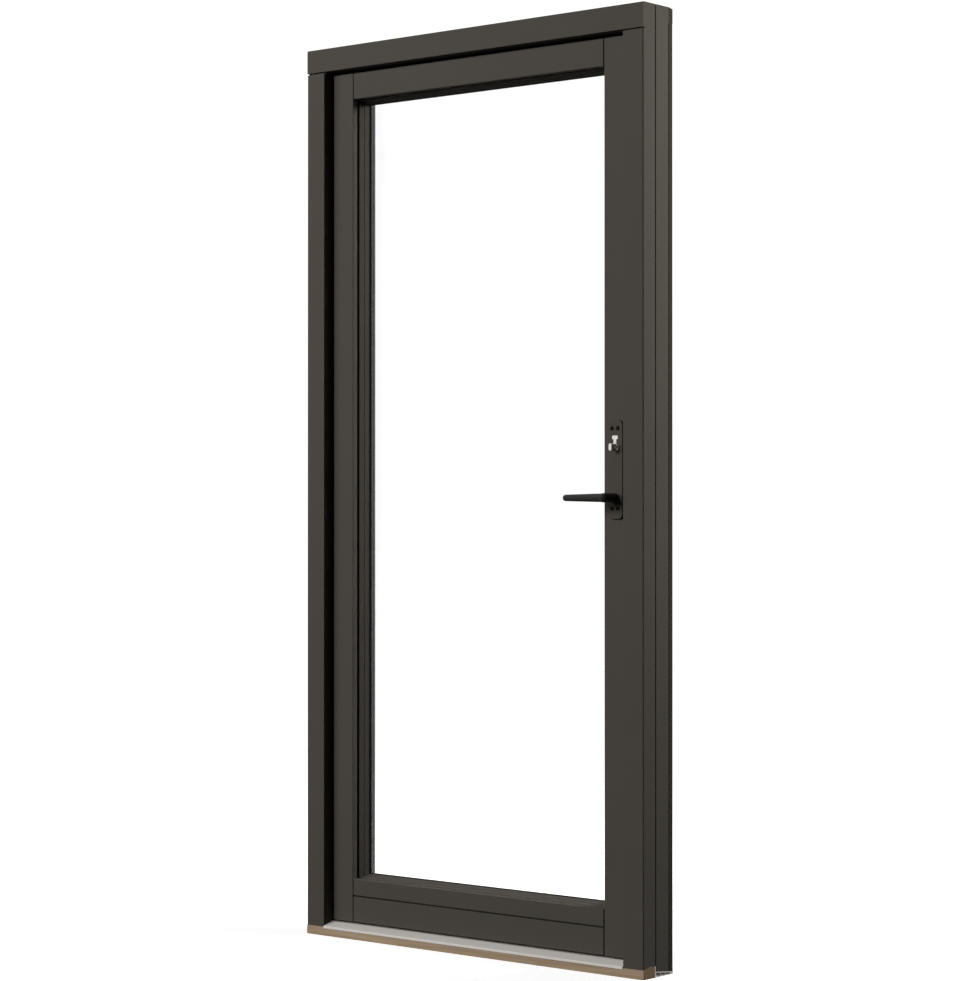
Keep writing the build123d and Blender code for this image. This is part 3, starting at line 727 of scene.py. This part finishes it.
world = bpy.data.worlds.new("studio")
world.use_nodes = True
bpy.context.scene.world = world
tree = world.node_tree
tree.nodes.clear()
path = add(tree, "ShaderNodeLightPath")
seen = add(
    tree,
    "ShaderNodeMath",
    {0: path.outputs["Is Camera Ray"], 1: path.outputs["Is Transmission Ray"]},
    operation="MAXIMUM",
)
whole = add(tree, "ShaderNodeMath", {0: seen.outputs["Value"], 1: SURROUND_GLOW}, operation="MULTIPLY")
direction = add(tree, "ShaderNodeTexCoord").outputs["Generated"]
towards = add(tree, "ShaderNodeVectorMath", {0: direction, 1: DARK_SIDE}, operation="DOT_PRODUCT")
surround = add(
    tree,
    "ShaderNodeMapRange",
    {
        "Value": towards.outputs["Value"],
        "From Min": DARK_FROM,
        "From Max": DARK_FULL,
        "To Min": 1.0,
        "To Max": DARK_LEVEL,
    },
)
glossy = add(
    tree,
    "ShaderNodeMapRange",
    {"Value": path.outputs["Is Glossy Ray"], "To Min": AMBIENT, "To Max": 1.0},
)
unseen = add(
    tree,
    "ShaderNodeMath",
    {0: surround.outputs["Result"], 1: glossy.outputs["Result"]},
    operation="MULTIPLY",
)
shown = add(
    tree,
    "ShaderNodeMath",
    {0: whole.outputs["Value"], 1: unseen.outputs["Value"]},
    operation="MAXIMUM",
)
back = add(tree, "ShaderNodeBackground", {"Color": WHITE, "Strength": shown.outputs["Value"]})
add(tree, "ShaderNodeOutputWorld", {"Surface": back.outputs["Background"]})


def aim(thing, spot, look):
    """Stands a lamp or the camera on its spot and points it."""
    thing.location = spot
    thing.rotation_mode = "QUATERNION"
    thing.rotation_quaternion = look.to_track_quat("-Z", "Y")


for name, (spot, (wide, tall), power) in LAMPS.items():
    light = bpy.data.lights.new(name, "AREA")
    light.shape = "ELLIPSE"
    light.size = wide
    light.size_y = tall
    light.energy = power
    lamp = put(name, light)
    lamp.visible_glossy = False
    aim(lamp, spot, DOOR_MIDDLE - Vector(spot))

# Camera
# It stands about six metres off, in front of the door and to its right, a metre up,
# and looks level at the leaf from some forty degrees to the side.
CAMERA_PLACE = Vector((3.91485, -4.65944, 1.01071))
CAMERA_LOOK = Vector((-0.64091, 0.76760, 0.00588))
CAMERA_LENS = 98.52
CAMERA_SENSOR = 36.0
camera_data = bpy.data.cameras.new("camera")
camera_data.lens = CAMERA_LENS
camera_data.sensor_width = CAMERA_SENSOR
camera = put("camera", camera_data)
aim(camera, CAMERA_PLACE, CAMERA_LOOK)
bpy.context.scene.camera = camera
bpy.context.scene.view_settings.view_transform = "Standard"
